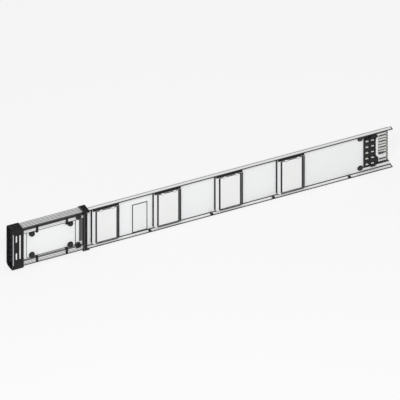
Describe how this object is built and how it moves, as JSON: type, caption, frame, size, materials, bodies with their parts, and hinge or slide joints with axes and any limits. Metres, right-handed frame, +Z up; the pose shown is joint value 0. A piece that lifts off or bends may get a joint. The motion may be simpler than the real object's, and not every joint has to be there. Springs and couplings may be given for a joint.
{
  "type": "busbar trunking section",
  "caption": "Straight plug-in busbar trunking section: sheet-steel casing with hinged tap-off outlets, a ribbed joint housing at one end and forked plug-in contacts at the other.",
  "frame": {"origin": "centre of the section's footprint, on the floor it stands on", "axes": "+X along the run from the joint housing to the plug end, -Y out of the outlets' fronts, +Z up across the casing's height"},
  "size_m": [1.5, 0.056, 0.174],
  "materials": {
    "casing": "semi-gloss powder coat",
    "tray": "semi-gloss powder coat",
    "bar": "tin-plated, satin",
    "contact": "tin-plated, bright satin",
    "support": "moulded",
    "guard": "moulded, fine texture",
    "frame": "moulded, fine texture",
    "flap": "moulded, satin gloss",
    "pin": "bright steel",
    "clip": "moulded",
    "screw": "black oxide",
    "rail": "satin powder coat",
    "cover": "semi-gloss powder coat",
    "collar": "matt moulded",
    "bolt": "black oxide"
  },
  "bodies": {
    "section": {"casing_channel": "casing", "casing_rear": "tray", "bar_l1": "bar", "bar_l2": "bar", "bar_l3": "bar", "bar_n": "bar", "bar_pe": "bar", "contact_l1": "contact", "contact_l2": "contact", "contact_l3": "contact", "contact_n": "contact", "contact_pe": "contact", "bar_supports": "support", "contact_block": "guard", "fork_shroud": "frame", "joint_socket": "guard", "outlet_frame_1": "frame", "outlet_frame_2": "frame", "outlet_frame_3": "frame", "outlet_frame_4": "frame", "outlet_pin_1": "pin", "outlet_pin_2": "pin", "outlet_pin_3": "pin", "outlet_pin_4": "pin", "outlet_socket_1": "guard", "outlet_socket_2": "guard", "outlet_socket_3": "guard", "outlet_socket_4": "guard", "hinge_cover_1": "clip", "hinge_cover_2": "clip", "hinge_cover_3": "clip", "hinge_cover_4": "clip", "blank_plate": "tray", "flange_clip_1": "clip", "flange_clip_2": "clip", "flange_clip_3": "clip", "flange_clip_4": "clip", "web_screw_top": "screw", "web_screw_bottom": "screw", "joint_rail_top": "rail", "joint_rail_bottom": "rail", "joint_front": "cover", "joint_back": "cover", "collar_left": "collar", "collar_right": "collar", "joint_bolt_1": "bolt", "joint_bolt_2": "bolt", "joint_bolt_3": "bolt", "joint_bolt_4": "bolt", "joint_screw_top": "bolt", "joint_screw_bottom": "bolt", "panel_latch_1": "clip", "panel_latch_2": "clip", "panel_latch_3": "clip", "panel_latch_4": "clip"},
    "flap_1": {"outlet_flap_1": "flap"},
    "flap_2": {"outlet_flap_2": "flap"},
    "flap_3": {"outlet_flap_3": "flap"},
    "flap_4": {"outlet_flap_4": "flap"}
  },
  "joints": [
    {"name": "flap_1_hinge", "type": "hinge", "parent": "section", "child": "flap_1", "pos_m": [-0.3695, -0.0035, 0.146], "axis": [-1, 0, 0], "range_deg": [0, 90]},
    {"name": "flap_2_hinge", "type": "hinge", "parent": "section", "child": "flap_2", "pos_m": [-0.1265, -0.0035, 0.146], "axis": [-1, 0, 0], "range_deg": [0, 90]},
    {"name": "flap_3_hinge", "type": "hinge", "parent": "section", "child": "flap_3", "pos_m": [0.1165, -0.0035, 0.146], "axis": [-1, 0, 0], "range_deg": [0, 90]},
    {"name": "flap_4_hinge", "type": "hinge", "parent": "section", "child": "flap_4", "pos_m": [0.3595, -0.0035, 0.146], "axis": [-1, 0, 0], "range_deg": [0, 90]}
  ]
}
